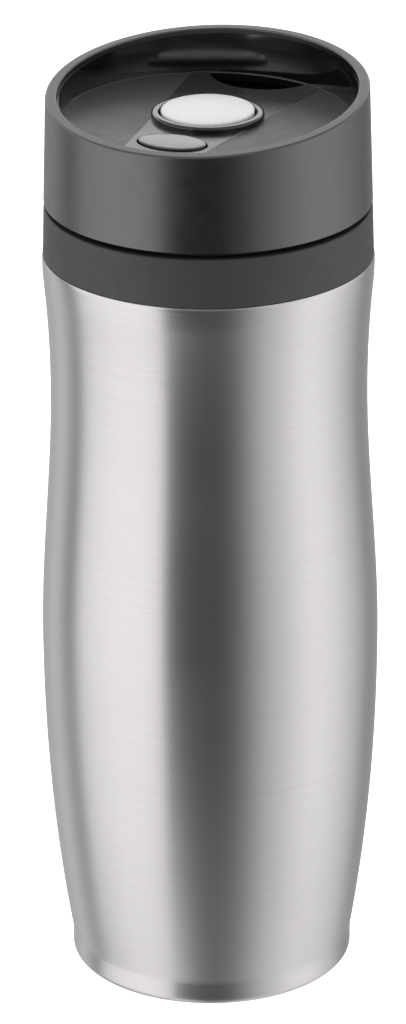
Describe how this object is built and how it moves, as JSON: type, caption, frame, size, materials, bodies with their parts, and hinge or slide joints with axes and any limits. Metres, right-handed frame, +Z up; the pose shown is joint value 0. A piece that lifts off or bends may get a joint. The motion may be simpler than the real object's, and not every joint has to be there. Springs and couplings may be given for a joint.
{
  "type": "insulated travel mug",
  "caption": "Double-walled steel travel mug with a screw lid, a push-button drinking valve and an oval key that releases it.",
  "frame": {"origin": "centre of the base, on the plane that the mug stands on", "axes": "+Z up along the mug's axis, +Y towards the drinking side of the lid, where the rim is highest"},
  "size_m": [0.0738, 0.0738, 0.2063],
  "materials": {
    "brushed_steel": "fine circumferential brushing, clear satin",
    "liner_steel": "dull drawn stainless steel",
    "base_steel": "brushed stainless steel",
    "solder": "dull solder bead",
    "getter": "sintered grey metal",
    "collar_plastic": "satin moulded plastic",
    "lid_plastic": "satin moulded plastic with a fine grain",
    "bowl_plastic": "glossy moulded plastic",
    "ring_plastic": "glossy moulded plastic",
    "key_plastic": "glossy moulded plastic",
    "button_plastic": "smooth white moulded plastic",
    "stopper_plastic": "food-safe polypropylene",
    "housing_plastic": "moulded plastic",
    "lever_plastic": "slippery grey acetal",
    "silicone": "soft translucent silicone",
    "hardware_steel": "turned stainless steel",
    "spring_steel": "drawn spring wire"
  },
  "bodies": {
    "mug": {"outer_shell": "brushed_steel", "inner_liner": "liner_steel", "bottom_plate": "liner_steel", "exhaust_seal": "solder", "getter_capsule": "getter", "base_cover": "base_steel", "collar_ring": "collar_plastic"},
    "seal": {"lid_seal": "silicone"},
    "lid": {"lid_shell": "lid_plastic", "drip_bowl": "bowl_plastic", "stopper_body": "stopper_plastic", "bowl_seal": "silicone", "button_collar": "ring_plastic", "latch_housing": "housing_plastic", "housing_screws": "hardware_steel", "stem_seal": "silicone", "latch_pin": "hardware_steel", "return_spring": "spring_steel", "release_spring": "spring_steel"},
    "button": {"push_button": "button_plastic", "valve_stem": "hardware_steel", "valve_disc": "stopper_plastic", "valve_seal": "silicone", "stem_screw": "hardware_steel"},
    "release": {"release_key": "key_plastic"},
    "latch": {"latch_lever": "lever_plastic"}
  },
  "joints": [
    {"name": "lid_lift", "type": "slide", "parent": "mug", "child": "seal", "axis": [0, 0, 1], "range_m": [0, 0.03]},
    {"name": "lid_turn", "type": "hinge", "parent": "seal", "child": "lid", "pos_m": [0, 0, 0.17], "axis": [0, 0, 1], "range_deg": [0, 900]},
    {"name": "button_press", "type": "slide", "parent": "lid", "child": "button", "axis": [0, 0, -1], "range_m": [0, 0.004], "stiffness_N_per_m": 400, "springref_m": -0.004, "deforming": ["return_spring"]},
    {"name": "release_press", "type": "slide", "parent": "lid", "child": "release", "axis": [0, 0, -1], "range_m": [0, 0.0012], "stiffness_N_per_m": 300, "springref_m": -0.002, "deforming": ["release_spring"]},
    {"name": "latch_turn", "type": "hinge", "parent": "lid", "child": "latch", "pos_m": [0, -0.015, 0.1851], "axis": [1, 0, 0], "range_deg": [0, 14]}
  ],
  "couplings": [
    {"joint": "lid_lift", "follows": "lid_turn", "m_per_rad": 0.0019099},
    {"joint": "latch_turn", "follows": "release_press", "rad_per_m": 200}
  ]
}
